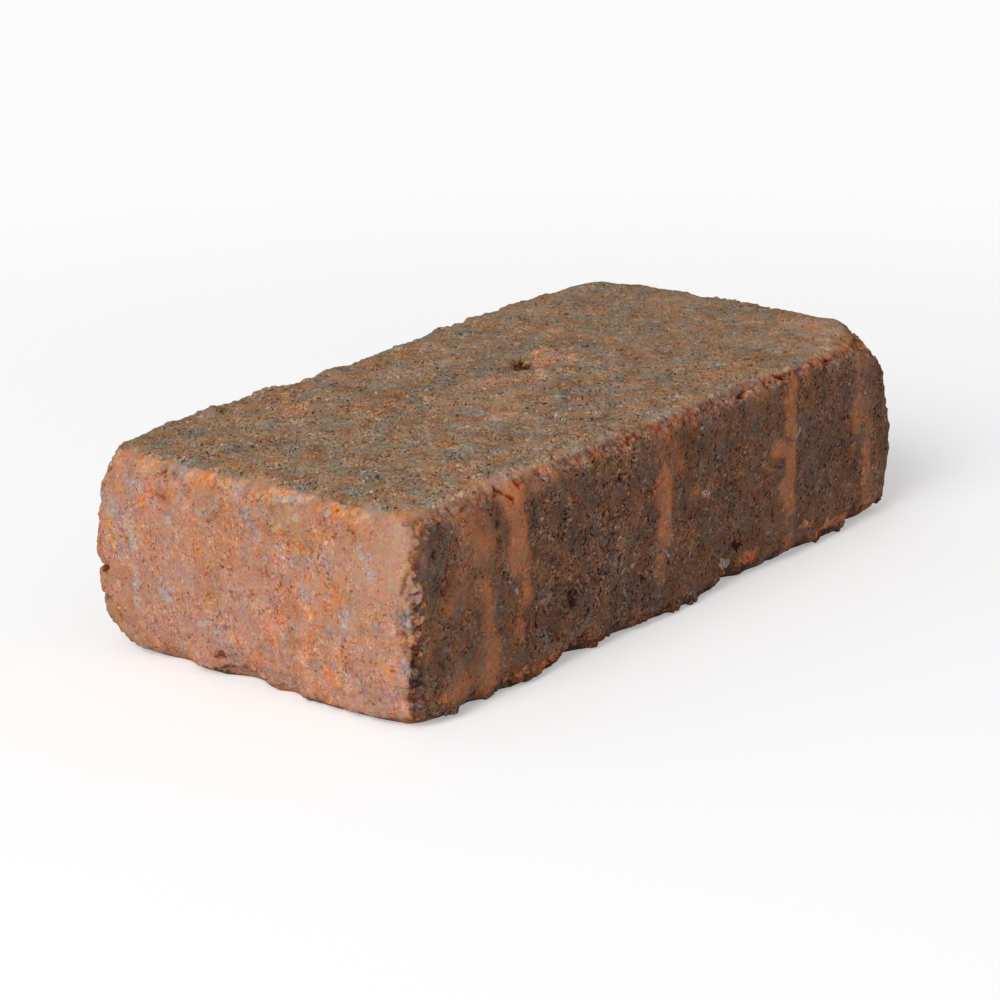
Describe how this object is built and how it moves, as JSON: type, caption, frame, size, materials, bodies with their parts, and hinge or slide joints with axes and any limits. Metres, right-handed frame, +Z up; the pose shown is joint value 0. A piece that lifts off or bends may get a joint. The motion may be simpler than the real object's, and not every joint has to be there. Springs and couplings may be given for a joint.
{
  "type": "tumbled concrete paving stone",
  "caption": "Rectangular tumbled concrete paving stone, twice as long as wide, with worn round arrises, knocked corners, chipped edges and four low rubbed ribs up one long side, in terracotta and charcoal.",
  "frame": {"origin": "Middle of the flat bed face, on the surface that the stone lies on", "axes": "+X along the stone's length, +Y across its width, +Z up out of the bed face to the wearing face"},
  "size_m": [0.1777, 0.0888, 0.0444],
  "materials": {
    "concrete": "Matt dry-cast concrete, tumbled: terracotta blended with charcoal brown, gritty on its faces, worn orange along its arrises"
  },
  "bodies": {
    "root": {"paving_stone": "concrete"}
  },
  "joints": []
}
